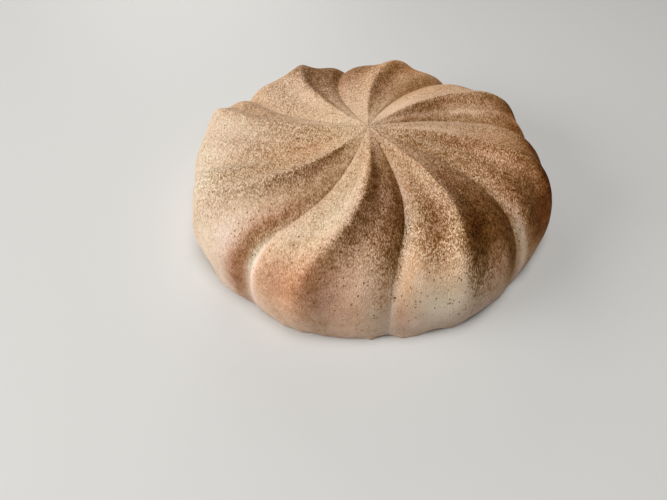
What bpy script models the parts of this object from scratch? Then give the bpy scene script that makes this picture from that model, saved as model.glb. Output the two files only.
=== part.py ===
"""Latte macchiato cake: a low round mousse cake cast in a swirled mould.

Eight folds wind outwards from a small knot near the middle of the top and run down to the base.
Each fold rises from a sharp crease, eases midway and is drawn up to a soft crest.
The origin is the centre of the flat base, +Z is up and -Y is the front. Lengths are in metres.
"""
import math

import bmesh
import bpy

COLLECTION_NAME = "latte_macchiato_cake"
CAKE_NAME = "cake"

# Outline of the folds: how far out and how high a crest and a crease run.
CREST_REACH = 0.0925
CREST_HEIGHT = 0.0442
CREST_SQUARENESS = 12.2
CREASE_REACH = 0.0889
CREASE_DROP = 0.0082
CREASE_DROP_RADIUS = 0.0694
CREASE_SQUARENESS = 9.5

# The knot, where all folds meet, stands a little proud of the crests and off the middle.
KNOT_HEIGHT = 0.0454
KNOT_RADIUS = 0.0133
KNOT_OFFSET = (0.0004, 0.0017)

# The side draws in towards the base, and the bottom edge is uneven: it waves all round (waves a
# turn, size, phase) and swells or dents at the front (azimuth and half width in degrees, size).
TUCK_DEPTH = 0.0034
TUCK_HEIGHT = 0.018
FOOT_HEIGHT = 0.007
FOOT_WAVES = ((5, 0.00030, 0.4), (11, 0.00035, 2.1), (19, 0.00025, 4.0))
FOOT_SWELLS = (
    (-146, 6.0, 0.0016),
    (-132, 4.0, -0.0009),
    (-116, 4.0, 0.0006),
    (-104, 7.0, -0.0007),
    (-81, 3.5, 0.0009),
    (-75, 3.0, -0.0009),
    (-62, 5.0, -0.0016),
    (-52, 4.0, 0.0009),
)

# The top leans: it is raised on the front left and as much lower on the back right.
LEAN_RISE = 0.0036
LEAN_AZIMUTH = math.radians(-131)

# Outwards from this radius on, offset and lean count in full; the height is where the lean ends.
SHOULDER_RADIUS = 0.060
SHOULDER_HEIGHT = 0.030

# The swirl: the folds turn back from the knot to the rim, crests further than creases,
# and each line turns forward again down the side.
TWIST = math.radians(12.8)
TWIST_RADIUS = 0.070
CREST_LAG = math.radians(-0.9)
CREASE_LAG = math.radians(2.8)
RIM_WIDTH = 0.022
SIDE_TURN_HEIGHT = 0.040

# Each fold's crest and the crease that follows it, counted from the front towards the right:
# azimuth at TWIST_RADIUS, extra bend at the knot and turn down the side, in degrees.
FOLDS = (
    ((-103.6, 0.1, 0.7), (-83.8, 1.0, 1.3)),
    ((-62.8, -2.9, 5.6), (-40.6, 0.1, -0.4)),
    ((-15.5, -2.8, 1.6), (10.7, 0.7, 1.0)),
    ((29.6, 2.7, 0.4), (53.0, 0.8, 1.4)),
    ((76.0, -2.7, 1.9), (97.5, 0.9, 0.5)),
    ((118.0, -0.6, 0.6), (144.2, -2.9, 1.1)),
    ((163.6, -2.2, 0.8), (191.1, -1.3, 0.9)),
    ((213.0, 2.5, 0.8), (235.2, 1.7, 1.0)),
)

# Section of a fold inside, at the rim and at the foot: how much it eases midway and how wide
# its crest is rounded.
EASE_INSIDE = 0.45
EASE_AT_RIM = 0.85
EASE_AT_FOOT = 0.10
ROUND_INSIDE = 0.07
ROUND_AT_RIM = 0.09
ROUND_AT_FOOT = 0.30
RIM_START = 0.045
RIM_END = 0.084
FOOT_START = 0.025

# Fineness of the turned blank.
RINGS = 26
COLUMNS_PER_FLANK = 10
COLUMNS = 2 * COLUMNS_PER_FLANK * len(FOLDS)
COLUMN_CROWDING = 0.5
MERGE_DISTANCE = 0.0001
SHARP_ANGLE = math.radians(32)

# Velvety coat, cream under a fine coffee-brown dusting.
COAT_COLOUR = (0.50, 0.34, 0.21, 1.0)
COAT_ROUGHNESS = 0.92


def clear_scene():
    for scene_object in list(bpy.data.objects):
        bpy.data.objects.remove(scene_object, do_unlink=True)


def clamp(value):
    return min(max(value, 0.0), 1.0)


def smooth_step(value):
    t = clamp(value)
    return t * t * (3 - 2 * t)


def blend(start, end, share):
    return start + (end - start) * share


def ring_reach(ring):
    """Share of the full reach at a ring: wide steps on the top, fine ones down the side."""
    return 1 - (1 - ring / RINGS) ** 2


def ring_level(ring):
    """Height of a ring on the plain blank, where the rings lie evenly one below the other."""
    return CREST_HEIGHT * (1 - ring / RINGS)


def tuck(height):
    return TUCK_DEPTH * clamp(1 - height / TUCK_HEIGHT) ** 2


def crest_profile(reach):
    """Radius and height of a crest."""
    radius = CREST_REACH * reach
    top = blend(KNOT_HEIGHT, CREST_HEIGHT, smooth_step(radius / KNOT_RADIUS))
    height = top * math.sqrt(clamp(1 - reach ** CREST_SQUARENESS))
    return radius - tuck(height), height


def crease_profile(reach):
    """Radius and height of a crease, which sinks away from the knot."""
    radius = CREASE_REACH * reach
    top = KNOT_HEIGHT - CREASE_DROP * math.sin(math.pi / 2 * clamp(radius / CREASE_DROP_RADIUS))
    height = top * math.sqrt(clamp(1 - reach ** CREASE_SQUARENESS))
    return radius - tuck(height) / 2, height


def fold_section(climb, radius, height):
    """Share of the rise from crease to crest after a share of the way across the flank."""
    rim_share = clamp((radius - RIM_START) / (RIM_END - RIM_START))
    foot_share = clamp(1 - height / FOOT_START)
    ease = blend(blend(EASE_INSIDE, EASE_AT_RIM, rim_share), EASE_AT_FOOT, foot_share)
    rounding = blend(blend(ROUND_INSIDE, ROUND_AT_RIM, rim_share ** 2), ROUND_AT_FOOT, foot_share)
    gap = math.hypot(1 - climb, rounding) - rounding
    widest_gap = math.hypot(1, rounding) - rounding
    rise = 1 - gap / widest_gap
    return rise + ease * math.sin(2 * math.pi * rise) / (2 * math.pi)


def line_azimuth(line, lag, radius, height):
    """Azimuth in radians of a crest or crease line at a radius and height."""
    azimuth, bend, side_turn = line
    share = radius / TWIST_RADIUS
    turned_back = TWIST * (1 - share ** 2) + math.radians(bend) * (1 - share)
    rim_share = clamp((radius - TWIST_RADIUS) / RIM_WIDTH)
    side_share = 1 - clamp(height / SIDE_TURN_HEIGHT) ** 2
    return math.radians(azimuth + side_turn * side_share) + turned_back + lag * rim_share ** 2


def turn_between(azimuth, place):
    """Signed angle in degrees from a place, given in degrees, to an azimuth in radians."""
    return (math.degrees(azimuth) - place + 180) % 360 - 180


def foot_swell(azimuth, height):
    """Small bulges and dips of the bottom edge."""
    fade = clamp(1 - height / FOOT_HEIGHT) ** 2
    waves = sum(size * math.sin(count * azimuth + phase) for count, size, phase in FOOT_WAVES)
    swells = sum(
        size * math.exp(-(turn_between(azimuth, place) / width) ** 2)
        for place, width, size in FOOT_SWELLS
    )
    return fade * (waves + swells)


def flank_position(column):
    """Fold number, side of its crest (-1 before, 1 after) and climb from crease to crest at a column."""
    fold, step = divmod(column + COLUMNS_PER_FLANK, 2 * COLUMNS_PER_FLANK)
    across = step / COLUMNS_PER_FLANK
    side = -1 if across < 1 else 1
    share = across if side < 0 else 2 - across
    crowded = (1 - math.cos(math.pi * share)) / 2
    return fold % len(FOLDS), side, blend(share, crowded, COLUMN_CROWDING)


def pressed_point(ring, column):
    """Place on the swirled cake of a point of the plain blank."""
    reach = ring_reach(ring)
    fold, side, climb = flank_position(column)
    crest_radius, crest_height = crest_profile(reach)
    crease_radius, crease_height = crease_profile(reach)
    plain_radius = CREST_REACH * reach
    rise = fold_section(climb, plain_radius, crest_height)
    radius = blend(crease_radius, crest_radius, rise)
    height = blend(crease_height, crest_height, rise)

    to_crest = line_azimuth(FOLDS[fold][0], CREST_LAG, radius, height)
    from_crease = line_azimuth(FOLDS[fold if side > 0 else fold - 1][1], CREASE_LAG, radius, height)
    if side < 0 and fold == 0:
        from_crease -= math.tau
    azimuth = blend(from_crease, to_crest, climb)

    shoulder = clamp(plain_radius / SHOULDER_RADIUS)
    lean = shoulder * clamp(crest_height / SHOULDER_HEIGHT) * LEAN_RISE
    off_middle = 1 - shoulder ** 2
    radius += foot_swell(azimuth, height)
    return (
        radius * math.cos(azimuth) + KNOT_OFFSET[0] * off_middle,
        radius * math.sin(azimuth) + KNOT_OFFSET[1] * off_middle,
        height + lean * math.cos(azimuth - LEAN_AZIMUTH),
    )


def turned_blank():
    """Plain round blank: a domed outline turned once about the upright axis."""
    outline = bmesh.new()
    points = [(CREST_REACH * ring_reach(ring), 0, ring_level(ring)) for ring in range(RINGS + 1)]
    points.append((0, 0, 0))
    corners = [outline.verts.new(point) for point in points]
    for start, end in zip(corners, corners[1:]):
        outline.edges.new((start, end))
    profile = bpy.data.meshes.new("blank_outline")
    outline.to_mesh(profile)
    outline.free()

    blank = bpy.data.objects.new("blank", profile)
    bpy.context.scene.collection.objects.link(blank)
    screw = blank.modifiers.new("turn", "SCREW")
    screw.steps = COLUMNS
    screw.render_steps = COLUMNS
    screw.use_merge_vertices = True
    screw.merge_threshold = MERGE_DISTANCE
    screw.use_smooth_shade = True
    turned = bpy.data.meshes.new_from_object(blank.evaluated_get(bpy.context.evaluated_depsgraph_get()))
    bpy.data.objects.remove(blank, do_unlink=True)
    bpy.data.meshes.remove(profile)
    return turned


def press_swirl(mesh):
    """Move every point of the blank to its place on the folds; the base's middle stays."""
    for vertex in mesh.vertices:
        if vertex.co.length < MERGE_DISTANCE:
            continue
        ring = round(RINGS * (1 - vertex.co.z / CREST_HEIGHT))
        turn = math.atan2(vertex.co.y, vertex.co.x) / math.tau
        vertex.co = pressed_point(ring, round(COLUMNS * turn) % COLUMNS)
    mesh.update()


def centre_on_origin(mesh):
    """Set the middle of the outline over the origin."""
    for axis in (0, 1):
        places = [vertex.co[axis] for vertex in mesh.vertices]
        middle = (min(places) + max(places)) / 2
        for vertex in mesh.vertices:
            vertex.co[axis] -= middle
    mesh.update()


def coat_material():
    material = bpy.data.materials.new("velvet_coat")
    material.use_nodes = True
    surface = material.node_tree.nodes["Principled BSDF"]
    surface.inputs["Base Color"].default_value = COAT_COLOUR
    surface.inputs["Roughness"].default_value = COAT_ROUGHNESS
    surface.inputs["Metallic"].default_value = 0.0
    material.diffuse_color = COAT_COLOUR
    return material


def build_cake():
    mesh = turned_blank()
    mesh.name = CAKE_NAME
    press_swirl(mesh)
    centre_on_origin(mesh)
    mesh.shade_smooth()
    mesh.set_sharp_from_angle(angle=SHARP_ANGLE)
    mesh.materials.append(coat_material())
    collection = bpy.data.collections.new(COLLECTION_NAME)
    bpy.context.scene.collection.children.link(collection)
    collection.objects.link(bpy.data.objects.new(CAKE_NAME, mesh))


clear_scene()
build_cake()
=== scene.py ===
"""Looks of the latte macchiato cake: the swirled body under its velvety spray coat, and the specks on it.

The body repeats the named sizes of the part's source, so that it lies where the CAD solid does.
The origin is the centre of the flat base, +Z is up and -Y is the front. Lengths are in metres.
"""
import math
import random

import bpy
from mathutils import Matrix, Quaternion, Vector, noise


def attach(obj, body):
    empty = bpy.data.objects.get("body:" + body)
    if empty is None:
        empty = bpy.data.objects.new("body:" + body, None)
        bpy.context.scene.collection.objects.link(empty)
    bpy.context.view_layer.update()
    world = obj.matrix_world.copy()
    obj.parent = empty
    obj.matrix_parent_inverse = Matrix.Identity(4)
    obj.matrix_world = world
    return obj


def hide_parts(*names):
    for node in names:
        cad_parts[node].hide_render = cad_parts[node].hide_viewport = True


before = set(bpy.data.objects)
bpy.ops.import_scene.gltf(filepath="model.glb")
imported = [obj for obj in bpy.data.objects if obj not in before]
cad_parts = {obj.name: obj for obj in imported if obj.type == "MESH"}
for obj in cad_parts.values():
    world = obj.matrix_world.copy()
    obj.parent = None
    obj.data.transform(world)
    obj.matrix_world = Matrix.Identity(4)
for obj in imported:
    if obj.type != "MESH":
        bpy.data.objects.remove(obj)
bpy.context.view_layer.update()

# Outline of the folds: how far out and how high a crest and a crease run.
CREST_REACH = 0.0925
CREST_HEIGHT = 0.0442
CREST_SQUARENESS = 12.2
CREASE_REACH = 0.0889
CREASE_DROP = 0.0082
CREASE_DROP_RADIUS = 0.0694
CREASE_SQUARENESS = 9.5

# The knot, where all folds meet, stands a little proud of the crests and off the middle.
KNOT_HEIGHT = 0.0454
KNOT_RADIUS = 0.0133
KNOT_OFFSET = (0.0004, 0.0017)

# The side draws in towards the base, and the bottom edge is uneven: it waves all round (waves a
# turn, size, phase) and swells or dents at the front (azimuth and half width in degrees, size).
TUCK_DEPTH = 0.0034
TUCK_HEIGHT = 0.018
FOOT_HEIGHT = 0.007
FOOT_WAVES = ((5, 0.00030, 0.4), (11, 0.00035, 2.1), (19, 0.00025, 4.0))
FOOT_SWELLS = (
    (-146, 6.0, 0.0016),
    (-132, 4.0, -0.0009),
    (-116, 4.0, 0.0006),
    (-104, 7.0, -0.0007),
    (-81, 3.5, 0.0009),
    (-75, 3.0, -0.0009),
    (-62, 5.0, -0.0016),
    (-52, 4.0, 0.0009),
)

# The top leans: it is raised on the front left and as much lower on the back right.
LEAN_RISE = 0.0036
LEAN_AZIMUTH = math.radians(-131)

# From the middle out to this radius the offset of the knot fades out and the lean grows to its full
# size. Below this height the lean fades out towards the base.
SHOULDER_RADIUS = 0.060
SHOULDER_HEIGHT = 0.030

# The swirl: the folds turn back from the knot to the rim, crests further than creases,
# and nearly all lines turn forward again down the side.
TWIST = math.radians(12.8)
TWIST_RADIUS = 0.070
CREST_LAG = math.radians(-0.9)
CREASE_LAG = math.radians(2.8)
RIM_WIDTH = 0.022
SIDE_TURN_HEIGHT = 0.040

# Each fold's crest and the crease that follows it, counted from the front towards the right:
# azimuth at TWIST_RADIUS, extra bend at the knot and turn down the side, in degrees.
FOLDS = (
    ((-103.6, 0.1, 0.7), (-83.8, 1.0, 1.3)),
    ((-62.8, -2.9, 5.6), (-40.6, 0.1, -0.4)),
    ((-15.5, -2.8, 1.6), (10.7, 0.7, 1.0)),
    ((29.6, 2.7, 0.4), (53.0, 0.8, 1.4)),
    ((76.0, -2.7, 1.9), (97.5, 0.9, 0.5)),
    ((118.0, -0.6, 0.6), (144.2, -2.9, 1.1)),
    ((163.6, -2.2, 0.8), (191.1, -1.3, 0.9)),
    ((213.0, 2.5, 0.8), (235.2, 1.7, 1.0)),
)

# Section of a fold inside, at the rim and at the foot: how much it eases midway and how wide
# its crest is rounded. The rim lies between two radii, and the foot starts at a height.
EASE_INSIDE = 0.45
EASE_AT_RIM = 0.85
EASE_AT_FOOT = 0.10
ROUND_INSIDE = 0.07
ROUND_AT_RIM = 0.09
ROUND_AT_FOOT = 0.30
RIM_START = 0.045
RIM_END = 0.084
FOOT_START = 0.025

# Fineness of the body.
RINGS = 150
BASE_RINGS = 6
COLUMNS_PER_FLANK = 36
COLUMNS = 2 * COLUMNS_PER_FLANK * len(FOLDS)
COLUMN_CROWDING = 0.5

# Middle of the part's outline, which the part's source sets over the origin.
OUTLINE_MIDDLE = (0.000009, 0.000045)

# Unevenness of the coat: turns of the pattern to the metre and height, and how far up it fades in.
COAT_LUMPS = ((48, 0.00034), (150, 0.00014), (420, 0.00006))
LUMP_FADE_HEIGHT = 0.003

# Thin lips where the coat ran out at the foot, and a nick between two of them: azimuth and half
# width in degrees, and reach.
FOOT_LIPS = (
    (-118.5, 1.2, 0.0007),
    (-112.6, 1.8, 0.0009),
    (-106.0, 1.5, 0.0004),
    (-93.0, 1.3, 0.0013),
    (-88.6, 1.6, -0.0010),
    (-84.5, 2.0, 0.0009),
    (-70.0, 1.6, 0.0004),
)
LIP_HEIGHT = 0.0022

# Brown dusting: an even veil all over, and the spray from two places on the right, each with its
# place, its amount at SPRAY_DISTANCE and how sharply it falls off on surfaces turned away.
# The spray thins near the knot and fades out towards the foot, and a least dusting stays everywhere.
VEIL = 0.25
LEAST_DUSTING = 0.03
SPRAYS = (
    (Vector((0.335, -0.095, 0.148)), 3.3, 2.8),
    (Vector((0.047, -0.062, 0.097)), 0.06, 2.9),
)
SPRAY_DISTANCE = 0.2
KNOT_CLEARING = 0.022
SPRAY_FOOT = (0.005, 0.044)

# Strokes of more or less dusting, some of them painted light and shade: less dusting paints a highlight
# strip and lifts shade that is too dark, more paints a shadow edge. Turn (a crest has its fold's number,
# the crease after it half a turn more) and half width, run in metres from the knot out and down the side
# and half length, amount.
DUSTING_LIGHT_AND_SHADE_STROKES = (
    # Crest 0 to crest 1.
    (0.00, 0.08, 0.036, 0.020, 0.30),
    (0.00, 0.04, 0.095, 0.007, 0.14),
    (0.04, 0.05, 0.098, 0.014, 0.14),
    # Painted shade: more dusting moves the shadow edge of crest 0 nearer the crest at the rim.
    (0.05, 0.04, 0.084, 0.005, 0.14),
    (0.08, 0.08, 0.108, 0.010, 0.10),
    (0.10, 0.04, 0.061, 0.004, -0.14),
    (0.10, 0.13, 0.105, 0.034, 0.22),
    (0.10, 0.07, 0.127, 0.006, 0.06),
    (0.12, 0.08, 0.038, 0.008, 0.15),
    (0.14, 0.05, 0.043, 0.006, 0.12),
    (0.15, 0.06, 0.077, 0.006, -0.14),
    (0.18, 0.09, 0.116, 0.006, -0.05),
    (0.20, 0.08, 0.104, 0.012, -0.09),
    (0.22, 0.07, 0.080, 0.008, -0.10),
    (0.28, 0.08, 0.127, 0.006, -0.10),
    (0.31, 0.12, 0.093, 0.012, -0.10),
    (0.32, 0.05, 0.055, 0.006, 0.08),
    (0.34, 0.05, 0.100, 0.008, -0.07),
    (0.38, 0.10, 0.021, 0.009, -0.19),
    (0.39, 0.06, 0.115, 0.008, -0.05),
    (0.45, 0.04, 0.105, 0.008, 0.13),
    (0.50, 0.06, 0.044, 0.010, -0.18),
    (0.50, 0.035, 0.086, 0.008, 0.12),
    (0.51, 0.035, 0.064, 0.014, 0.20),
    (0.51, 0.03, 0.083, 0.012, 0.12),
    (0.54, 0.04, 0.070, 0.012, 0.07),
    (0.55, 0.035, 0.106, 0.022, 0.20),
    (0.555, 0.040, 0.098, 0.030, -0.28),
    (0.57, 0.03, 0.110, 0.010, 0.11),
    (0.59, 0.03, 0.127, 0.006, 0.07),
    (0.60, 0.05, 0.092, 0.010, 0.09),
    (0.64, 0.08, 0.078, 0.012, -0.14),
    (0.64, 0.05, 0.087, 0.006, -0.08),
    (0.65, 0.06, 0.095, 0.006, -0.12),
    (0.65, 0.04, 0.124, 0.005, -0.11),
    (0.69, 0.05, 0.057, 0.006, 0.10),
    (0.75, 0.08, 0.074, 0.010, 0.08),
    (0.79, 0.07, 0.058, 0.006, 0.12),
    (0.81, 0.07, 0.076, 0.006, 0.07),
    (0.82, 0.20, 0.106, 0.020, -0.28),
    (0.83, 0.08, 0.062, 0.008, 0.10),
    (0.84, 0.14, 0.106, 0.012, -0.09),
    (0.88, 0.08, 0.052, 0.014, -0.15),
    (0.89, 0.06, 0.114, 0.006, -0.07),
    (0.92, 0.06, 0.103, 0.006, -0.09),
    (0.93, 0.04, 0.104, 0.006, -0.10),
    (0.97, 0.04, 0.083, 0.006, 0.10),
    # Crest 1 to crest 2.
    (1.02, 0.06, 0.066, 0.018, -0.45),
    (1.06, 0.05, 0.078, 0.006, 0.05),
    (1.06, 0.04, 0.101, 0.014, 0.20),
    (1.07, 0.04, 0.092, 0.006, 0.08),
    # Painted light: less dusting lifts the shade on the turned-away side just after crest 1.
    (1.08, 0.05, 0.040, 0.010, -0.20),
    (1.12, 0.10, 0.034, 0.024, -0.09),
    (1.12, 0.08, 0.092, 0.014, 0.13),
    (1.14, 0.05, 0.094, 0.007, -0.10),
    (1.16, 0.11, 0.078, 0.012, 0.05),
    (1.19, 0.04, 0.085, 0.006, 0.10),
    (1.20, 0.05, 0.098, 0.007, -0.14),
    (1.21, 0.05, 0.107, 0.006, -0.07),
    (1.26, 0.06, 0.060, 0.010, 0.12),
    (1.31, 0.05, 0.105, 0.008, -0.12),
    (1.38, 0.08, 0.087, 0.008, -0.10),
    (1.40, 0.04, 0.105, 0.010, 0.10),
    (1.42, 0.04, 0.105, 0.010, 0.14),
    (1.43, 0.05, 0.082, 0.006, -0.13),
    (1.44, 0.07, 0.114, 0.015, 0.30),
    # Painted light: less dusting lifts the dark shade in crease 1.5.
    (1.52, 0.035, 0.073, 0.014, -0.26),
    (1.53, 0.035, 0.093, 0.006, 0.07),
    (1.57, 0.040, 0.092, 0.034, -0.42),
    (1.62, 0.08, 0.022, 0.012, 0.15),
    (1.62, 0.08, 0.057, 0.008, -0.11),
    (1.64, 0.06, 0.130, 0.007, 0.45),
    (1.71, 0.06, 0.100, 0.008, 0.10),
    (1.72, 0.05, 0.108, 0.006, 0.12),
    (1.74, 0.06, 0.069, 0.008, 0.12),
    (1.76, 0.06, 0.108, 0.007, 0.16),
    (1.85, 0.06, 0.060, 0.010, -0.28),
    (1.85, 0.08, 0.088, 0.006, -0.09),
    (1.88, 0.08, 0.037, 0.010, 0.16),
    (1.88, 0.10, 0.068, 0.010, -0.09),
    (1.88, 0.14, 0.118, 0.014, 0.38),
    (1.90, 0.10, 0.119, 0.006, 0.18),
    # Crest 2 to crest 3.
    (2.00, 0.08, 0.074, 0.010, 0.20),
    (2.12, 0.10, 0.030, 0.025, -0.12),
    (2.12, 0.08, 0.082, 0.006, -0.14),
    (2.30, 0.09, 0.086, 0.012, 0.16),
    (2.62, 0.08, 0.039, 0.008, -0.11),
    (2.66, 0.06, 0.056, 0.012, -0.30),
    (2.66, 0.07, 0.092, 0.010, -0.45),
    (2.75, 0.20, 0.094, 0.008, -0.18),
    (2.80, 0.07, 0.036, 0.014, 0.35),
    (2.82, 0.05, 0.050, 0.007, -0.22),
    (2.90, 0.08, 0.036, 0.010, 0.18),
    # Crest 3 to crest 4.
    (3.20, 0.25, 0.034, 0.025, -0.12),
    (3.58, 0.07, 0.030, 0.018, -0.40),
    (3.80, 0.05, 0.063, 0.006, -0.18),
    (3.86, 0.10, 0.062, 0.018, 0.25),
    (3.87, 0.10, 0.042, 0.014, 0.10),
    # Crest 4 to crest 5.
    (4.30, 0.20, 0.074, 0.018, 0.45),
    (4.50, 0.20, 0.064, 0.012, 0.10),
    (4.76, 0.22, 0.078, 0.030, 0.55),
    (4.92, 0.08, 0.050, 0.024, 0.30),
    # Crest 5 to crest 6.
    (5.04, 0.05, 0.073, 0.007, 0.22),
    (5.12, 0.10, 0.044, 0.014, -0.12),
    (5.35, 0.12, 0.064, 0.016, 0.10),
    (5.38, 0.10, 0.062, 0.010, -0.10),
    (5.50, 0.035, 0.054, 0.016, -0.10),
    (5.65, 0.14, 0.020, 0.022, -0.09),
    (5.65, 0.10, 0.022, 0.022, -0.06),
    (5.72, 0.20, 0.022, 0.020, -0.08),
    # Crest 6 to crest 7.
    (6.15, 0.12, 0.028, 0.018, 0.12),
    (6.15, 0.12, 0.064, 0.022, -0.13),
    (6.38, 0.10, 0.020, 0.012, 0.09),
    (6.41, 0.10, 0.076, 0.012, -0.07),
    (6.88, 0.08, 0.051, 0.010, -0.05),
    # Crest 7 to crest 0.
    (7.10, 0.12, 0.035, 0.018, 0.20),
    (7.12, 0.10, 0.114, 0.020, -0.07),
    (7.21, 0.05, 0.078, 0.008, -0.08),
    (7.28, 0.12, 0.098, 0.020, -0.08),
    (7.38, 0.08, 0.112, 0.010, 0.10),
    (7.40, 0.08, 0.126, 0.010, 0.14),
    (7.42, 0.05, 0.077, 0.007, 0.12),
    (7.43, 0.055, 0.105, 0.036, 0.50),
    (7.44, 0.07, 0.030, 0.018, -0.45),
    (7.46, 0.03, 0.056, 0.012, -0.12),
    (7.47, 0.06, 0.059, 0.006, -0.06),
    (7.48, 0.03, 0.102, 0.018, -0.13),
    # Painted highlight: less dusting makes the bright strip along the edge of fold 0 beside crease 7.5.
    (7.53, 0.034, 0.103, 0.026, -0.22),
    (7.62, 0.08, 0.076, 0.008, -0.10),
    (7.75, 0.10, 0.100, 0.010, 0.04),
    (7.75, 0.16, 0.106, 0.014, 0.08),
    (7.78, 0.20, 0.064, 0.018, -0.11),
    (7.79, 0.08, 0.128, 0.006, 0.08),
    (7.87, 0.10, 0.044, 0.022, -0.12),
    (7.94, 0.05, 0.108, 0.007, 0.12),
    # Painted light: less dusting lifts the shade that is too dark just before crest 0 at the rim.
    (7.95, 0.05, 0.068, 0.005, -0.10),
    # All round or nearly so.
    (4.50, 2.60, 0.016, 0.020, -0.13),
)

# Warm toffee tint: an even one, and strokes of more or less of it.
TINT = 0.78
TINT_STROKES = (
    # Crest 0 to crest 1.
    (0.11, 0.06, 0.106, 0.012, -0.30),
    (0.12, 0.12, 0.046, 0.026, -0.28),
    (0.12, 0.12, 0.060, 0.020, -0.10),
    (0.12, 0.10, 0.116, 0.020, -0.25),
    (0.20, 0.22, 0.048, 0.016, -0.20),
    (0.28, 0.08, 0.127, 0.006, 0.25),
    (0.38, 0.12, 0.055, 0.014, -0.24),
    (0.43, 0.05, 0.117, 0.008, -0.25),
    (0.50, 0.035, 0.100, 0.045, -0.38),
    (0.51, 0.035, 0.070, 0.020, 0.15),
    (0.53, 0.04, 0.066, 0.016, -0.35),
    (0.60, 0.06, 0.092, 0.014, 0.22),
    (0.62, 0.10, 0.078, 0.014, 0.18),
    (0.66, 0.06, 0.095, 0.008, -0.15),
    (0.76, 0.18, 0.095, 0.016, 0.30),
    (0.80, 0.10, 0.066, 0.014, -0.20),
    (0.82, 0.18, 0.111, 0.014, -0.20),
    (0.88, 0.10, 0.100, 0.016, 0.26),
    # Crest 1 to crest 2.
    (1.10, 0.08, 0.060, 0.010, -0.28),
    (1.10, 0.12, 0.118, 0.016, -0.18),
    (1.12, 0.08, 0.077, 0.009, 0.80),
    (1.12, 0.07, 0.079, 0.006, 0.40),
    (1.14, 0.12, 0.063, 0.007, -0.20),
    (1.28, 0.05, 0.092, 0.006, -0.30),
    (1.30, 0.20, 0.088, 0.014, 0.45),
    (1.38, 0.10, 0.056, 0.018, -0.16),
    (1.53, 0.04, 0.093, 0.008, -0.25),
    (1.55, 0.035, 0.104, 0.030, -0.30),
    (1.75, 0.15, 0.024, 0.014, -0.20),
    (1.80, 0.06, 0.107, 0.006, 0.40),
    (1.82, 0.08, 0.104, 0.008, 0.45),
    (1.88, 0.18, 0.106, 0.014, 2.20),
    (1.90, 0.10, 0.086, 0.012, -0.24),
    # Crest 2 to crest 3.
    (2.12, 0.14, 0.070, 0.024, 0.45),
    (2.20, 0.24, 0.090, 0.012, 1.50),
    (2.42, 0.12, 0.072, 0.014, 0.28),
    (2.75, 0.20, 0.026, 0.014, -0.25),
    (2.75, 0.20, 0.092, 0.012, 1.20),
    # Crest 3 to crest 4.
    (3.50, 0.45, 0.054, 0.022, 0.35),
    (3.85, 0.20, 0.078, 0.012, 0.80),
    # Crest 4 to crest 5.
    (4.12, 0.14, 0.058, 0.018, 0.20),
    (4.90, 0.20, 0.060, 0.016, -0.20),
    # Crest 5 to crest 6.
    (5.75, 0.20, 0.024, 0.022, 0.17),
    (5.75, 0.22, 0.060, 0.030, 0.22),
    # Crest 6 to crest 7.
    (6.12, 0.10, 0.088, 0.012, -0.16),
    (6.60, 0.60, 0.104, 0.034, -0.50),
    (6.62, 0.24, 0.034, 0.016, 0.34),
    (6.76, 0.20, 0.056, 0.030, 0.26),
    (6.76, 0.20, 0.062, 0.018, 0.12),
    # Crest 7 to crest 0.
    (7.12, 0.10, 0.040, 0.014, -0.15),
    (7.30, 0.14, 0.098, 0.020, -0.35),
    (7.40, 0.15, 0.124, 0.014, -0.35),
    (7.49, 0.03, 0.100, 0.022, -0.35),
    (7.53, 0.035, 0.104, 0.030, -0.15),
    (7.88, 0.12, 0.104, 0.016, 0.30),
    # All round or nearly so.
    (4.00, 20.0, 0.018, 0.016, 0.12),
    (0.00, 20.0, 0.134, 0.014, -0.42),
)

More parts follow.
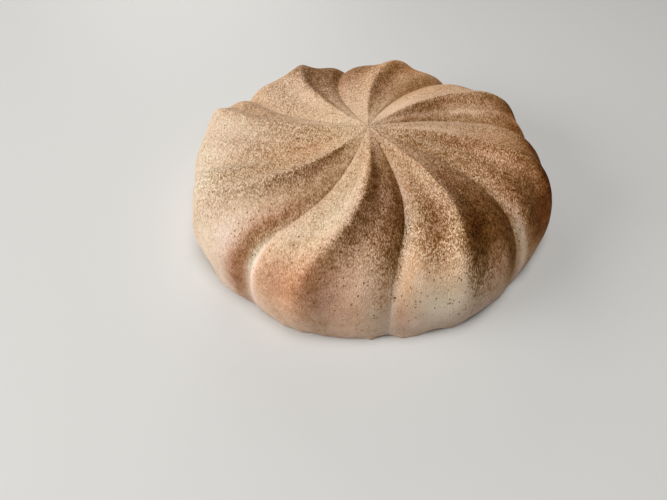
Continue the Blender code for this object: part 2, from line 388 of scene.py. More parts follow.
# Rosy tan tint: strokes on the turned-away sides of the folds and low on the front left, and less
# rose than elsewhere at the knot, on the left side and in the greyish foot of the front right.
ROSE_STROKES = (
    # Crest 0 to crest 1.
    (0.00, 0.05, 0.096, 0.010, 0.25),
    (0.12, 0.13, 0.048, 0.028, 0.80),
    (0.12, 0.12, 0.103, 0.020, 0.46),
    (0.20, 0.25, 0.112, 0.014, 0.25),
    (0.38, 0.13, 0.052, 0.024, 0.72),
    (0.40, 0.05, 0.115, 0.010, -0.22),
    (0.54, 0.045, 0.066, 0.020, -0.18),
    (0.57, 0.035, 0.117, 0.014, 0.35),
    (0.62, 0.10, 0.041, 0.010, 0.18),
    (0.66, 0.08, 0.120, 0.014, 0.25),
    (0.80, 0.10, 0.066, 0.016, 0.50),
    (0.80, 0.22, 0.113, 0.017, -0.50),
    # Crest 1 to crest 2.
    (1.06, 0.05, 0.082, 0.010, 0.35),
    (1.12, 0.08, 0.081, 0.008, -0.40),
    (1.14, 0.13, 0.054, 0.020, 0.66),
    (1.18, 0.12, 0.106, 0.012, 0.22),
    (1.34, 0.05, 0.069, 0.006, 0.20),
    (1.38, 0.11, 0.056, 0.026, 0.48),
    (1.38, 0.10, 0.112, 0.016, 0.20),
    (1.53, 0.04, 0.093, 0.008, -0.35),
    (1.58, 0.05, 0.108, 0.014, -0.28),
    (1.64, 0.12, 0.074, 0.026, 0.38),
    (1.66, 0.06, 0.076, 0.012, 0.22),
    (1.82, 0.08, 0.104, 0.008, -0.45),
    (1.85, 0.08, 0.078, 0.008, 0.18),
    (1.88, 0.12, 0.064, 0.038, 0.48),
    (1.90, 0.10, 0.106, 0.008, -0.70),
    # Crest 2 to crest 3.
    (2.16, 0.10, 0.063, 0.014, 0.26),
    (2.66, 0.12, 0.028, 0.014, 0.42),
    (2.66, 0.14, 0.083, 0.016, 0.38),
    (2.86, 0.06, 0.074, 0.008, 0.20),
    (2.88, 0.10, 0.040, 0.024, 0.48),
    # Crest 3 to crest 4.
    (3.38, 0.28, 0.032, 0.030, -0.14),
    (3.88, 0.12, 0.044, 0.020, 0.38),
    # Crest 4 to crest 5.
    (4.48, 0.26, 0.060, 0.016, 0.40),
    (4.88, 0.12, 0.048, 0.022, 0.36),
    # Crest 5 to crest 6.
    (5.10, 1.90, 0.010, 0.018, -0.18),
    (5.50, 0.40, 0.036, 0.026, -0.10),
    # Crest 6 to crest 7.
    (6.12, 0.12, 0.064, 0.022, -0.26),
    (6.38, 0.12, 0.086, 0.014, -0.18),
    (6.62, 0.12, 0.040, 0.030, -0.10),
    (6.75, 0.50, 0.096, 0.036, -0.33),
    (6.90, 1.10, 0.009, 0.014, -0.12),
    # Crest 7 to crest 0.
    (7.12, 0.10, 0.038, 0.018, 0.42),
    (7.12, 0.10, 0.116, 0.014, -0.18),
    (7.40, 0.09, 0.070, 0.014, 0.46),
    (7.41, 0.09, 0.115, 0.026, 0.62),
    (7.42, 0.09, 0.108, 0.024, 0.30),
    (7.49, 0.03, 0.096, 0.022, -0.80),
    (7.66, 0.12, 0.062, 0.040, -0.28),
    (7.75, 0.10, 0.100, 0.010, 0.22),
    (7.76, 0.22, 0.106, 0.020, 0.45),
    (7.86, 0.12, 0.060, 0.022, -0.38),
    (7.94, 0.12, 0.110, 0.020, 0.18),
)

# Velvet grain: between two heights it grows from a small share at the smooth foot to its full strength,
# and strokes make it stronger or weaker. Its strength also sets how much darker the hollows are painted,
# which is partly painted shade of the nodules.
GRAIN_FOOT = (0.010, 0.052)
FOOT_GRAIN = 0.12
GRAIN_AND_NODULE_SHADE_STROKES = (
    # Crest 0 to crest 1.
    (0.06, 0.16, 0.094, 0.018, -0.42),
    (0.12, 0.08, 0.110, 0.010, -0.35),
    (0.40, 0.90, 0.026, 0.022, -0.22),
    (0.40, 0.10, 0.110, 0.022, 0.45),
    (0.66, 0.12, 0.078, 0.020, 0.38),
    (0.80, 0.10, 0.074, 0.008, -0.30),
    (0.86, 0.14, 0.098, 0.018, 1.10),
    # Crest 1 to crest 2.
    (1.12, 0.14, 0.120, 0.020, 2.10),
    (1.38, 0.10, 0.098, 0.010, 0.45),
    (1.66, 0.12, 0.104, 0.030, 0.45),
    (1.90, 0.12, 0.108, 0.016, 0.55),
    # Crest 2 to crest 3.
    (2.10, 0.14, 0.018, 0.018, 0.35),
    (2.64, 0.10, 0.024, 0.018, -0.38),
    # Crest 3 to crest 4.
    (3.12, 0.10, 0.056, 0.016, 0.70),
    (3.45, 0.20, 0.038, 0.034, -0.38),
    (3.85, 0.10, 0.010, 0.012, -0.40),
    # Crest 4 to crest 5.
    (4.22, 0.20, 0.040, 0.030, 0.25),
    (4.62, 0.10, 0.012, 0.012, -0.35),
    (4.62, 0.10, 0.057, 0.012, 0.35),
    # Crest 5 to crest 6.
    (5.28, 0.20, 0.066, 0.016, 0.50),
    (5.62, 0.10, 0.022, 0.026, 1.20),
    (5.75, 0.26, 0.030, 0.040, 0.50),
    (5.88, 0.08, 0.014, 0.012, 0.80),
    # Crest 6 to crest 7.
    (6.12, 0.10, 0.030, 0.016, -0.20),
    (6.12, 0.14, 0.045, 0.030, 0.30),
    # Painted shade: stronger grain on the left folds darkens the hollows of the nodules more, standing for
    # the shade on them.
    (6.62, 0.10, 0.060, 0.030, 0.35),
    (6.76, 0.20, 0.060, 0.036, 0.95),
    (6.88, 0.08, 0.052, 0.014, 0.35),
    # Crest 7 to crest 0.
    (7.32, 0.20, 0.062, 0.045, -0.32),
    (7.62, 0.10, 0.072, 0.014, 0.20),
    (7.72, 0.12, 0.096, 0.016, -0.22),
    # All round or nearly so.
    (0.00, 20.0, 0.130, 0.016, 0.70),
)

# Nodules of the grain: how many to the metre, how the pattern is drawn out, how much they differ in
# height, over which distance from their tops they sink into the hollows, and their height.
NODULES = 2300
NODULE_STRETCH = (1, 0.40, 0.40)
NODULE_UNEVENNESS = 0.45
NODULE_SLOPE = (0.30, 1.25)
NODULE_HEIGHT = 0.00035

# Dusting is mottled and gathers in the hollows of the grain, less so where it is dense; the darker hollows
# are partly painted shade of the nodules. For each full layer gathered it is rosier and less yellow there.
MOTTLES = 260
MOTTLE_SPREAD = (0.25, 0.75)
MOTTLE_SHARE = (0.82, 1.18)
HOLLOW_CONTRAST_DUSTING_RANGE = (0.2, 1.2)
HOLLOW_DUST_AND_SHADE = (0.98, 0.36)
HOLLOW_ROSE = 0.9
HOLLOW_TOFFEE = -0.3

# Fine coffee dots in the coat: cells to the metre, share of them that hold a dot, least size and
# spread of sizes in cells, softness of the rim and depth of the coffee.
DOT_CELLS = 600
DOT_SHARE = 0.60
DOT_SIZE = 0.10
DOT_SIZE_SPREAD = 0.14
DOT_RIM = (-0.03, 0.06)
DOT_COFFEE = 1.05

COAT_SHINE = 0.12
COAT_ROUGHNESS = (0.82, 0.97)

# Coffee specks caught in the coat: azimuth in degrees, radius, height and size of the ones that
# stand out, nearly all at the front, and how many small ones are scattered all over.
BOLD_SPECKS = (
    (-174, 0.034, 0.044, 0.0013),
    (-117, 0.077, 0.042, 0.0009),
    (-116, 0.084, 0.039, 0.0008),
    (-107, 0.086, 0.036, 0.0009),
    (-104, 0.083, 0.040, 0.0012),
    (-97, 0.086, 0.029, 0.0009),
    (-95.5, 0.084, 0.034, 0.0009),
    (-94.5, 0.083, 0.034, 0.0007),
    (-91, 0.087, 0.023, 0.0008),
    (-88, 0.085, 0.027, 0.0008),
    (-87.5, 0.086, 0.026, 0.0012),
    (-82, 0.088, 0.025, 0.0007),
    (-82, 0.089, 0.022, 0.0007),
    (-76.5, 0.090, 0.025, 0.0007),
    (-73, 0.090, 0.023, 0.0007),
    (-73, 0.091, 0.021, 0.0009),
    (-72, 0.091, 0.022, 0.0006),
    (-70, 0.091, 0.013, 0.0008),
    (-66, 0.090, 0.021, 0.0009),
)
SMALL_SPECKS = 130
SMALL_SPECK_SIZES = (0.0003, 0.0006)
SMALL_SPECKS_ON_SIDE = 0.6
SPECK_SIDE_HEIGHTS = (0.005, 0.040)
SPECK_SEED = 11

# One speck: its faces, how uneven and how flat it is, and its look, which varies over it.
SPECK_SEGMENTS = 8
SPECK_RINGS = 5
SPECK_UNEVENNESS = 0.14
SPECK_PROPORTIONS = (1, 0.8, 0.5)
SPECK_PATCHES = 2200
SPECK_PATCH_SPREAD = (0.3, 0.7)
SPECK_COFFEE = (0.70, 1.2)
SPECK_SHINE = 0.15
SPECK_ROUGHNESS = (0.80, 0.95)
SPECK_RELIEF = 0.0001

# Colour of the bare coat, and how much of its red, green and blue light a full layer of each tint
# holds back, as an exponent. Dense coffee counts with the third power of the coffee.
CREAM = (0.885, 0.781, 0.775)
TOFFEE_DEPTH = (0.0, 0.25, 0.60)
ROSE_DEPTH = (0.0, 0.24, 0.20)
COFFEE_DEPTH = (1.5, 1.98, 2.67)
DENSE_COFFEE_DEPTH = (0.04, 0.03, 0.32)

FLOOR_SIZE = 6
FLOOR_COLOUR = (0.62, 0.62, 0.61)
FLOOR_ROUGHNESS = 0.6

CAMERA_PLACE = (-0.01908, -0.20015, 0.1893)
CAMERA_PITCH = math.radians(49.14)
CAMERA_ROLL = math.radians(-2.79)
CAMERA_LENS = 27.26
CAMERA_SENSOR = 36
CAMERA_NEAREST = 0.01

# Soft lights: name, azimuth and elevation in degrees, size, power and colour.
LIGHT_DISTANCE = 1.1
LIGHTS = (
    ("window_light", 193, 20, 0.85, 10.9, (1, 0.98, 0.95)),
    ("side_light", 105, 18, 0.70, 3.9, (1, 0.98, 0.95)),
    ("ceiling_light", 300, 80, 0.70, 8.3, (1, 0.99, 0.97)),
)
AIR_BRIGHTNESS = 0.05


def around(azimuth, radius, height):
    return Vector((radius * math.cos(azimuth), radius * math.sin(azimuth), height))


def clamp(value):
    return min(max(value, 0.0), 1.0)


def smooth_step(value):
    t = clamp(value)
    return t * t * (3 - 2 * t)


def blend(start, end, share):
    return start + (end - start) * share


def hump(distance, width):
    """Soft hump of height 1 with a half width."""
    return math.exp(-(distance / width) ** 2)


def deselect_all():
    for scene_object in bpy.context.selected_objects:
        scene_object.select_set(False)


def ring_reach(ring):
    """Share of the full reach at a ring: wide steps on the top, fine ones down the side."""
    return 1 - (1 - ring / RINGS) ** 2


def ring_level(ring):
    """Height of a ring on the plain shell, where the rings lie evenly one below the other."""
    return CREST_HEIGHT * (1 - ring / RINGS)


def tuck(height):
    return TUCK_DEPTH * clamp(1 - height / TUCK_HEIGHT) ** 2


def crest_profile(reach):
    """Radius and height of a crest."""
    radius = CREST_REACH * reach
    top = blend(KNOT_HEIGHT, CREST_HEIGHT, smooth_step(radius / KNOT_RADIUS))
    height = top * math.sqrt(clamp(1 - reach ** CREST_SQUARENESS))
    return radius - tuck(height), height


def crease_profile(reach):
    """Radius and height of a crease, which sinks away from the knot."""
    radius = CREASE_REACH * reach
    top = KNOT_HEIGHT - CREASE_DROP * math.sin(math.pi / 2 * clamp(radius / CREASE_DROP_RADIUS))
    height = top * math.sqrt(clamp(1 - reach ** CREASE_SQUARENESS))
    return radius - tuck(height) / 2, height


def fold_section(climb, radius, height):
    """Share of the rise from crease to crest after a share of the way across the flank."""
    rim_share = clamp((radius - RIM_START) / (RIM_END - RIM_START))
    foot_share = clamp(1 - height / FOOT_START)
    ease = blend(blend(EASE_INSIDE, EASE_AT_RIM, rim_share), EASE_AT_FOOT, foot_share)
    rounding = blend(blend(ROUND_INSIDE, ROUND_AT_RIM, rim_share ** 2), ROUND_AT_FOOT, foot_share)
    gap = math.hypot(1 - climb, rounding) - rounding
    widest_gap = math.hypot(1, rounding) - rounding
    rise = 1 - gap / widest_gap
    return rise + ease * math.sin(math.tau * rise) / math.tau


def line_azimuth(line, lag, radius, height):
    """Azimuth in radians of a crest or crease line at a radius and height."""
    azimuth, bend, side_turn = line
    share = radius / TWIST_RADIUS
    turned_back = TWIST * (1 - share ** 2) + math.radians(bend) * (1 - share)
    rim_share = clamp((radius - TWIST_RADIUS) / RIM_WIDTH)
    side_share = 1 - clamp(height / SIDE_TURN_HEIGHT) ** 2
    return math.radians(azimuth + side_turn * side_share) + turned_back + lag * rim_share ** 2


def turn_between(azimuth, place):
    """Signed angle in degrees from a place, given in degrees, to an azimuth in radians."""
    return (math.degrees(azimuth) - place + 180) % 360 - 180


def foot_swell(azimuth, height):
    """Small bulges and dips of the bottom edge, and the thin lips of the coat along it."""
    fade = clamp(1 - height / FOOT_HEIGHT) ** 2
    waves = sum(size * math.sin(count * azimuth + phase) for count, size, phase in FOOT_WAVES)
    swells = sum(size * hump(turn_between(azimuth, place), width) for place, width, size in FOOT_SWELLS)
    lips = sum(size * hump(turn_between(azimuth, place), width) for place, width, size in FOOT_LIPS)
    return fade * (waves + swells) + clamp(1 - height / LIP_HEIGHT) * lips


def flank_position(column):
    """Fold number, side of its crest (-1 before, 1 after) and climb from crease to crest at a column."""
    fold, step = divmod(column + COLUMNS_PER_FLANK, 2 * COLUMNS_PER_FLANK)
    across = step / COLUMNS_PER_FLANK
    side = -1 if across < 1 else 1
    share = across if side < 0 else 2 - across
    crowded = (1 - math.cos(math.pi * share)) / 2
    return fold % len(FOLDS), side, blend(share, crowded, COLUMN_CROWDING)


def pressed_point(reach, column):
    """Place on the swirled cake of a point of the plain shell."""
    fold, side, climb = flank_position(column)
    crest_radius, crest_height = crest_profile(reach)
    crease_radius, crease_height = crease_profile(reach)
    plain_radius = CREST_REACH * reach
    rise = fold_section(climb, plain_radius, crest_height)
    radius = blend(crease_radius, crest_radius, rise)
    height = blend(crease_height, crest_height, rise)

    to_crest = line_azimuth(FOLDS[fold][0], CREST_LAG, radius, height)
    from_crease = line_azimuth(FOLDS[fold if side > 0 else fold - 1][1], CREASE_LAG, radius, height)
    if side < 0 and fold == 0:
        from_crease -= math.tau
    azimuth = blend(from_crease, to_crest, climb)

    shoulder = clamp(plain_radius / SHOULDER_RADIUS)
    lean = shoulder * clamp(crest_height / SHOULDER_HEIGHT) * LEAN_RISE
    off_middle = 1 - shoulder ** 2
    radius += foot_swell(azimuth, height)
    return Vector((
        radius * math.cos(azimuth) + KNOT_OFFSET[0] * off_middle - OUTLINE_MIDDLE[0],
        radius * math.sin(azimuth) + KNOT_OFFSET[1] * off_middle - OUTLINE_MIDDLE[1],
        height + lean * math.cos(azimuth - LEAN_AZIMUTH),
    ))


def turned_shell():
    """Closed shell of a plain round cake, drawn ring by ring from the top down and in under the base."""
    deselect_all()
    first_radius = CREST_REACH * ring_reach(1)
    bpy.ops.mesh.primitive_circle_add(
        vertices=COLUMNS, radius=first_radius, fill_type="TRIFAN", location=(0, 0, ring_level(1))
    )
    shell = bpy.context.active_object
    bpy.ops.object.transform_apply(location=True, rotation=True, scale=True)
    bpy.ops.object.mode_set(mode="EDIT")
    bpy.ops.mesh.select_mode(type="EDGE")
    bpy.ops.mesh.select_all(action="SELECT")
    bpy.ops.mesh.region_to_loop()
    radius = first_radius
    for ring in range(2, RINGS + 1):
        bpy.ops.mesh.extrude_edges_move(
            TRANSFORM_OT_translate={"value": (0, 0, ring_level(ring) - ring_level(ring - 1))}
        )
        grown = CREST_REACH * ring_reach(ring)
        bpy.ops.transform.resize(value=(grown / radius, grown / radius, 1))
        radius = grown
    for ring in range(1, BASE_RINGS):
        bpy.ops.mesh.extrude_edges_move()
        drawn_in = CREST_REACH * (1 - ring / BASE_RINGS)
        bpy.ops.transform.resize(value=(drawn_in / radius, drawn_in / radius, 1))
        radius = drawn_in
    bpy.ops.mesh.extrude_edges_move()
    bpy.ops.mesh.merge(type="CENTER")
    bpy.ops.mesh.select_all(action="SELECT")
    bpy.ops.mesh.normals_make_consistent(inside=False)
    bpy.ops.object.mode_set(mode="OBJECT")
    return shell


def shell_position(place):
    """Ring, column and radius of a vertex on the plain shell; the centre of the top has ring 0."""
    radius = math.hypot(place.x, place.y)
    ring = round(RINGS * (1 - place.z / CREST_HEIGHT))
    if radius < CREST_REACH * ring_reach(1) / 2 and ring < RINGS:
        ring = 0
    turn = math.atan2(place.y, place.x) / math.tau
    return ring, round(COLUMNS * turn) % COLUMNS, radius


def press_swirl(shell, positions):
    """Move every vertex of the shell to its place on the folds."""
    for vertex, (ring, column, radius) in zip(shell.data.vertices, positions):
        if ring < RINGS:
            vertex.co = pressed_point(ring_reach(ring), column)
            continue
        edge = pressed_point(1, column)
        share = radius / CREST_REACH
        vertex.co = (edge.x * share, edge.y * share, 0)
    shell.data.update()


def roughen(shell):
    """Raise and sink the coat in small lumps along its normals, none at the base."""
    normals = [vertex.normal.copy() for vertex in shell.data.vertices]
    for vertex, normal in zip(shell.data.vertices, normals):
        fade = clamp(vertex.co.z / LUMP_FADE_HEIGHT)
        lift = sum(height * noise.noise(vertex.co * rate) for rate, height in COAT_LUMPS)
        vertex.co += normal * lift * fade
    shell.data.update()


def profile_run(ring):
    """Way from the knot out along the top and down the side to a ring."""
    reach = ring_reach(ring)
    return CREST_REACH * reach + CREST_HEIGHT - crest_profile(reach)[1]


def strokes_at(strokes, turn, run):
    total = 0
    for stroke_turn, half_width, stroke_run, half_length, amount in strokes:
        beside = (turn - stroke_turn + len(FOLDS) / 2) % len(FOLDS) - len(FOLDS) / 2
        if abs(beside) < 3 * half_width:
            total += amount * hump(beside, half_width) * hump(run - stroke_run, half_length)
    return total


def sprayed(place, normal):
    """Brown spray that lands on a place whose surface looks along a normal."""
    total = 0
    for source, amount, sharpness in SPRAYS:
        way = source - place
        facing = max(way.normalized().dot(normal), 0)
        total += amount * facing ** sharpness * (SPRAY_DISTANCE / way.length) ** 2
    start, end = SPRAY_FOOT
    return total * smooth_step((place.z - start) / (end - start))


def paint(body, positions):
    """Store how much dusting with its painted light and shade, toffee tint, rose tint and grain every
    vertex of the coat has.
    """
    mesh = body.data
    names = ("dusting_light_and_shade", "toffee_tint", "rose_tint", "grain_and_nodule_shade")
    for name in names:
        mesh.attributes.new(name, "FLOAT", "POINT")
    dusting_light_and_shade, tint, rose, grain_and_nodule_shade = (mesh.attributes[name].data for name in names)
    start, end = GRAIN_FOOT
    for vertex, (ring, column, _) in zip(mesh.vertices, positions):
        fold, side, climb = flank_position(column)
        turn = fold + side * (1 - climb) / 2
        run = profile_run(ring)
        clearing = smooth_step(math.hypot(vertex.co.x, vertex.co.y) / KNOT_CLEARING)
        spray = clearing * sprayed(vertex.co, vertex.normal)
        brown_with_painted_light = VEIL + spray + strokes_at(DUSTING_LIGHT_AND_SHADE_STROKES, turn, run)
        dusting_light_and_shade[vertex.index].value = max(brown_with_painted_light, LEAST_DUSTING)
        tint[vertex.index].value = max(TINT + strokes_at(TINT_STROKES, turn, run), 0)
        rose[vertex.index].value = strokes_at(ROSE_STROKES, turn, run)
        fade = blend(FOOT_GRAIN, 1, smooth_step((vertex.co.z - start) / (end - start)))
        grain_and_nodule_shade[vertex.index].value = fade * max(1 + strokes_at(GRAIN_AND_NODULE_SHADE_STROKES, turn, run), 0)


def new_group(name, inputs, outputs):
    """Empty shader node group with named sockets, its input node and its output node."""
    group = bpy.data.node_groups.new(name, "ShaderNodeTree")
    for socket_name, kind in inputs:
        group.interface.new_socket(socket_name, in_out="INPUT", socket_type=kind)
    for socket_name, kind in outputs:
        group.interface.new_socket(socket_name, in_out="OUTPUT", socket_type=kind)
    return group, group.nodes.new("NodeGroupInput"), group.nodes.new("NodeGroupOutput")


def math_node(tree, operation, first, second=None, third=None):
    node = tree.nodes.new("ShaderNodeMath")
    node.operation = operation
    for socket, value in zip(node.inputs, (first, second, third)):
        if isinstance(value, (int, float)):
            socket.default_value = value
        elif value is not None:
            tree.links.new(value, socket)
    return node.outputs["Value"]


def range_node(tree, value, source, target=(0, 1)):
    """Value eased from a source range to a target range."""
    node = tree.nodes.new("ShaderNodeMapRange")
    node.interpolation_type = "SMOOTHSTEP"
    tree.links.new(value, node.inputs["Value"])
    for name, number in zip(("From Min", "From Max", "To Min", "To Max"), (*source, *target)):
        node.inputs[name].default_value = number
    return node.outputs["Result"]


def noise_node(tree, place, scale):
    node = tree.nodes.new("ShaderNodeTexNoise")
    node.inputs["Scale"].default_value = scale
    tree.links.new(place, node.inputs["Vector"])
    return node.outputs["Fac"]


def tree_place(tree):
    return tree.nodes.new("ShaderNodeTexCoord").outputs["Object"]


def velvet_grain_group():
    """Nodules of the sprayed coat, some higher than others: their height, and a mask of the low places."""
    outputs = (("Height", "NodeSocketFloat"), ("Hollows", "NodeSocketFloat"))
    group, _, outlet = new_group("velvet_grain", (), outputs)
    drawn_out = group.nodes.new("ShaderNodeMapping")
    drawn_out.inputs["Scale"].default_value = NODULE_STRETCH
    group.links.new(tree_place(group), drawn_out.inputs["Vector"])
    cells = group.nodes.new("ShaderNodeTexVoronoi")
    cells.feature = "F1"
    cells.inputs["Scale"].default_value = NODULES
    group.links.new(drawn_out.outputs["Vector"], cells.inputs["Vector"])
    channels = group.nodes.new("ShaderNodeSeparateColor")
    group.links.new(cells.outputs["Color"], channels.inputs["Color"])
    low = math_node(
        group, "MULTIPLY_ADD", channels.outputs["Red"], NODULE_UNEVENNESS, cells.outputs["Distance"]
    )
    hollows = range_node(group, low, NODULE_SLOPE)
    group.links.new(math_node(group, "SUBTRACT", 1, hollows), outlet.inputs["Height"])
    group.links.new(hollows, outlet.inputs["Hollows"])
    return group


def coffee_dots_group():
    """Mask of single small dots scattered over the coat."""
    inputs = (("Scale", "NodeSocketFloat"), ("Share", "NodeSocketFloat"))
    group, inlet, outlet = new_group("coffee_dots", inputs, (("Dots", "NodeSocketFloat"),))
    cells = group.nodes.new("ShaderNodeTexVoronoi")
    group.links.new(tree_place(group), cells.inputs["Vector"])
    group.links.new(inlet.outputs["Scale"], cells.inputs["Scale"])
    channels = group.nodes.new("ShaderNodeSeparateColor")
    group.links.new(cells.outputs["Color"], channels.inputs["Color"])
    chosen = math_node(group, "LESS_THAN", channels.outputs["Red"], inlet.outputs["Share"])
    size = math_node(group, "MULTIPLY_ADD", channels.outputs["Green"], DOT_SIZE_SPREAD, DOT_SIZE)
    near = math_node(group, "SUBTRACT", size, cells.outputs["Distance"])
    dot = range_node(group, near, DOT_RIM)
    group.links.new(math_node(group, "MULTIPLY", dot, chosen), outlet.inputs["Dots"])
    return group


def layered_spray_group():
    """Colour of cream under layers that let less light back the more of them there is."""
    group, inlet, outlet = new_group(
        "layered_spray",
        (
            ("Cream", "NodeSocketColor"),
            ("Toffee", "NodeSocketFloat"),
            ("Rose", "NodeSocketFloat"),
            ("Coffee", "NodeSocketFloat"),
        ),
        (("Color", "NodeSocketColor"),),
    )
    channels = group.nodes.new("ShaderNodeSeparateColor")
    group.links.new(inlet.outputs["Cream"], channels.inputs["Color"])
    joined = group.nodes.new("ShaderNodeCombineColor")
    coffee = inlet.outputs["Coffee"]
    dense = math_node(group, "POWER", coffee, 3)
    layers = (
        (inlet.outputs["Toffee"], TOFFEE_DEPTH),
        (inlet.outputs["Rose"], ROSE_DEPTH),
        (coffee, COFFEE_DEPTH),
        (dense, DENSE_COFFEE_DEPTH),
    )
    for place, channel in enumerate(("Red", "Green", "Blue")):
        depth = 0
        for layer, depths in layers:
            depth = math_node(group, "MULTIPLY_ADD", layer, -depths[place], depth)
        left = math_node(group, "MULTIPLY", math_node(group, "EXPONENT", depth), channels.outputs[channel])
        group.links.new(left, joined.inputs[channel])
    group.links.new(joined.outputs["Color"], outlet.inputs["Color"])
    return group


def group_node(tree, group):
    node = tree.nodes.new("ShaderNodeGroup")
    node.node_tree = group
    return node


def attribute_value(tree, name):
    node = tree.nodes.new("ShaderNodeAttribute")
    node.attribute_name = name
    return node.outputs["Fac"]


def new_look(name):
    """New material, its node tree and its shader."""
    material = bpy.data.materials.new(name)
    material.use_nodes = True
    return material, material.node_tree, material.node_tree.nodes["Principled BSDF"]


def raise_surface(tree, surface, height, distance):
    bump = tree.nodes.new("ShaderNodeBump")
    bump.inputs["Distance"].default_value = distance
    tree.links.new(height, bump.inputs["Height"])
    tree.links.new(bump.outputs["Normal"], surface.inputs["Normal"])


def dusting_with_nodule_shade(tree, dusting_light_and_shade, hollows, amount):
    """Dusting as it lies, less of it on the tops of the nodules and more in the hollows; the darker
    hollows are partly painted shade of the nodules.
    """
    swing = math_node(tree, "MULTIPLY_ADD", hollows, 2, -1)
    contrast = range_node(tree, dusting_light_and_shade, HOLLOW_CONTRAST_DUSTING_RANGE, HOLLOW_DUST_AND_SHADE)
    share = math_node(tree, "MULTIPLY", math_node(tree, "MULTIPLY", swing, contrast), amount)
    return math_node(tree, "MAXIMUM", math_node(tree, "MULTIPLY_ADD", share, dusting_light_and_shade, dusting_light_and_shade), 0)


def velvet_coat(grain_group, dots_group, spray_group):
    """Cream velvet coat with toffee and rose tints, dusting with painted light and shade, more of it in
    the hollows of its grain as partly painted shade, and fine dots.
    """
    material, tree, surface = new_look("velvet_coat_look")
    surface.inputs["Specular IOR Level"].default_value = COAT_SHINE
    grain_and_nodule_shade = group_node(tree, grain_group)
    amount = attribute_value(tree, "grain_and_nodule_shade")
    mottles = noise_node(tree, tree_place(tree), MOTTLES)
    mottled = range_node(tree, mottles, MOTTLE_SPREAD, MOTTLE_SHARE)
    dusting_light_and_shade = math_node(tree, "MULTIPLY", attribute_value(tree, "dusting_light_and_shade"), mottled)
    dust_and_shade_in_hollows = dusting_with_nodule_shade(tree, dusting_light_and_shade, grain_and_nodule_shade.outputs["Hollows"], amount)
    extra = math_node(tree, "SUBTRACT", dust_and_shade_in_hollows, dusting_light_and_shade)
    rose = math_node(tree, "MULTIPLY_ADD", extra, HOLLOW_ROSE, attribute_value(tree, "rose_tint"))
    toffee = math_node(tree, "MULTIPLY_ADD", extra, HOLLOW_TOFFEE, attribute_value(tree, "toffee_tint"))

    dots = group_node(tree, dots_group)
    dots.inputs["Scale"].default_value = DOT_CELLS
    dots.inputs["Share"].default_value = DOT_SHARE
    dot_coffee = math_node(tree, "MULTIPLY", math_node(tree, "SQRT", amount), DOT_COFFEE)
    dotted = math_node(tree, "MULTIPLY", dots.outputs["Dots"], dot_coffee)

    spray = group_node(tree, spray_group)
    spray.inputs["Cream"].default_value = (*CREAM, 1)
    tree.links.new(toffee, spray.inputs["Toffee"])
    tree.links.new(rose, spray.inputs["Rose"])
    tree.links.new(math_node(tree, "ADD", dust_and_shade_in_hollows, dotted), spray.inputs["Coffee"])
    tree.links.new(spray.outputs["Color"], surface.inputs["Base Color"])
    roughness = range_node(tree, grain_and_nodule_shade.outputs["Hollows"], (0, 1), COAT_ROUGHNESS)
    tree.links.new(roughness, surface.inputs["Roughness"])
    height = math_node(tree, "MULTIPLY", grain_and_nodule_shade.outputs["Height"], amount)
    raise_surface(tree, surface, height, NODULE_HEIGHT)
    return material


def coffee_speck(spray_group):
    """Dark coffee, uneven in depth and a little rough."""
    material, tree, surface = new_look("coffee_speck_look")
    surface.inputs["Specular IOR Level"].default_value = SPECK_SHINE
    patches = noise_node(tree, tree_place(tree), SPECK_PATCHES)
    spray = group_node(tree, spray_group)
    spray.inputs["Cream"].default_value = (*CREAM, 1)
    spray.inputs["Toffee"].default_value = TINT
    coffee = range_node(tree, patches, SPECK_PATCH_SPREAD, SPECK_COFFEE)
    tree.links.new(coffee, spray.inputs["Coffee"])
    tree.links.new(spray.outputs["Color"], surface.inputs["Base Color"])
    roughness = range_node(tree, patches, SPECK_PATCH_SPREAD, SPECK_ROUGHNESS)
    tree.links.new(roughness, surface.inputs["Roughness"])
    raise_surface(tree, surface, patches, SPECK_RELIEF)
    return material


def pale_floor():
    material, _, surface = new_look("pale_floor")
    surface.inputs["Base Color"].default_value = (*FLOOR_COLOUR, 1)
    surface.inputs["Roughness"].default_value = FLOOR_ROUGHNESS
    return material


def make_body(coat):
    body = turned_shell()
    body.name = "swirled_body"
    body.data.name = "swirled_body"
    positions = [shell_position(vertex.co) for vertex in body.data.vertices]
    press_swirl(body, positions)
    roughen(body)
    paint(body, positions)
    body.data.shade_smooth()
    body.data.materials.append(coat)
    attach(body, "root")
    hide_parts("cake")
    return body


def model_speck():
    """One coffee speck a metre across, flat and uneven, which is scaled down where it is set."""
    deselect_all()
    bpy.ops.mesh.primitive_uv_sphere_add(segments=SPECK_SEGMENTS, ring_count=SPECK_RINGS, radius=0.5)
    speck = bpy.context.active_object
    bpy.ops.object.mode_set(mode="EDIT")
    bpy.ops.mesh.select_all(action="SELECT")
    bpy.ops.transform.vertex_random(offset=SPECK_UNEVENNESS, seed=SPECK_SEED)
    bpy.ops.transform.resize(value=SPECK_PROPORTIONS)
    bpy.ops.mesh.normals_make_consistent(inside=False)
    bpy.ops.object.mode_set(mode="OBJECT")
    return speck


def set_speck(model, body, aim, size, spin):
    """Copy of the speck, half sunk in the coat where it is nearest to a place."""
    _, spot, normal, _ = body.closest_point_on_mesh(aim)
    speck = model.copy()
    speck.data = model.data.copy()
    turn = normal.to_track_quat("Z", "Y") @ Quaternion((0, 0, 1), spin)
    speck.data.transform(Matrix.LocRotScale(spot, turn, Vector((size, size, size))))
    bpy.context.scene.collection.objects.link(speck)
    return speck


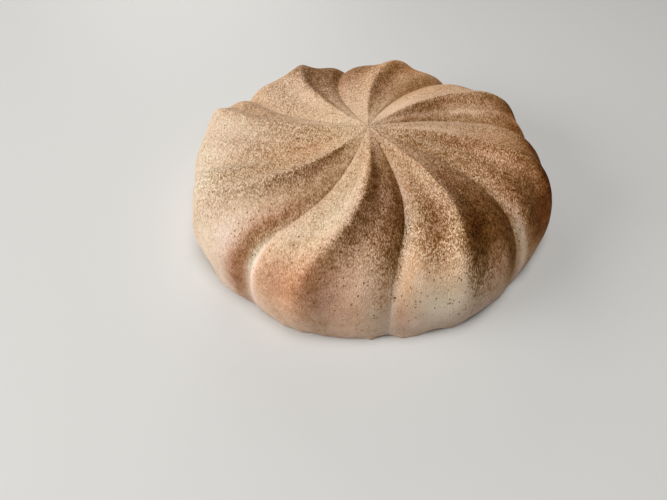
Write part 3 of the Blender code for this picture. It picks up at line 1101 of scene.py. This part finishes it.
def make_specks(body, look):
    rng = random.Random(SPECK_SEED)
    model = model_speck()
    bpy.context.view_layer.update()
    specks = []
    for azimuth, radius, height, size in BOLD_SPECKS:
        aim = around(math.radians(azimuth), radius, height)
        specks.append(set_speck(model, body, aim, size, rng.uniform(0, math.tau)))
    for _ in range(SMALL_SPECKS):
        azimuth = rng.uniform(0, math.tau)
        if rng.random() < SMALL_SPECKS_ON_SIDE:
            aim = around(azimuth, CREST_REACH, rng.uniform(*SPECK_SIDE_HEIGHTS))
        else:
            aim = around(azimuth, CREASE_REACH * math.sqrt(rng.random()), CREST_HEIGHT)
        size = rng.uniform(*SMALL_SPECK_SIZES)
        specks.append(set_speck(model, body, aim, size, rng.uniform(0, math.tau)))
    bpy.data.objects.remove(model)
    deselect_all()
    for speck in specks:
        speck.select_set(True)
    bpy.context.view_layer.objects.active = specks[0]
    bpy.ops.object.join()
    joined = bpy.context.active_object
    joined.name = "coffee_specks"
    joined.data.name = "coffee_specks"
    joined.data.shade_smooth()
    joined.data.materials.append(look)
    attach(joined, "root")


def make_floor():
    deselect_all()
    bpy.ops.mesh.primitive_plane_add(size=FLOOR_SIZE, location=(0, 0, 0))
    floor = bpy.context.active_object
    floor.name = "floor"
    floor.data.materials.append(pale_floor())


def make_camera():
    level_up = Vector((0, math.sin(CAMERA_PITCH), math.cos(CAMERA_PITCH)))
    level_right = Vector((1, 0, 0))
    ahead = Vector((0, math.cos(CAMERA_PITCH), -math.sin(CAMERA_PITCH)))
    right = level_right * math.cos(CAMERA_ROLL) + level_up * math.sin(CAMERA_ROLL)
    up = level_up * math.cos(CAMERA_ROLL) - level_right * math.sin(CAMERA_ROLL)
    data = bpy.data.cameras.new("photo_view")
    data.sensor_width = CAMERA_SENSOR
    data.lens = CAMERA_LENS
    data.clip_start = CAMERA_NEAREST
    camera = bpy.data.objects.new("photo_view", data)
    turn = Matrix((right, up, -ahead)).transposed()
    camera.matrix_world = Matrix.LocRotScale(Vector(CAMERA_PLACE), turn, None)
    bpy.context.scene.collection.objects.link(camera)
    bpy.context.scene.camera = camera


def soft_light(name, azimuth, elevation, size, power, colour):
    """Round light that looks at the origin."""
    data = bpy.data.lights.new(name, "AREA")
    data.shape = "DISK"
    data.size = size
    data.energy = power
    data.color = colour
    light = bpy.data.objects.new(name, data)
    away = Vector((
        math.cos(math.radians(azimuth)) * math.cos(math.radians(elevation)),
        math.sin(math.radians(azimuth)) * math.cos(math.radians(elevation)),
        math.sin(math.radians(elevation)),
    ))
    light.location = away * LIGHT_DISTANCE
    light.rotation_mode = "QUATERNION"
    light.rotation_quaternion = away.to_track_quat("Z", "Y")
    bpy.context.scene.collection.objects.link(light)


def make_lights():
    for light in LIGHTS:
        soft_light(*light)
    world = bpy.data.worlds.new("studio_air")
    world.use_nodes = True
    air = world.node_tree.nodes["Background"]
    air.inputs["Color"].default_value = (1, 1, 1, 1)
    air.inputs["Strength"].default_value = AIR_BRIGHTNESS
    bpy.context.scene.world = world
    bpy.context.scene.view_settings.view_transform = "Standard"


layered_spray = layered_spray_group()
swirled_body = make_body(velvet_coat(velvet_grain_group(), coffee_dots_group(), layered_spray))
make_specks(swirled_body, coffee_speck(layered_spray))
make_floor()
make_camera()
make_lights()
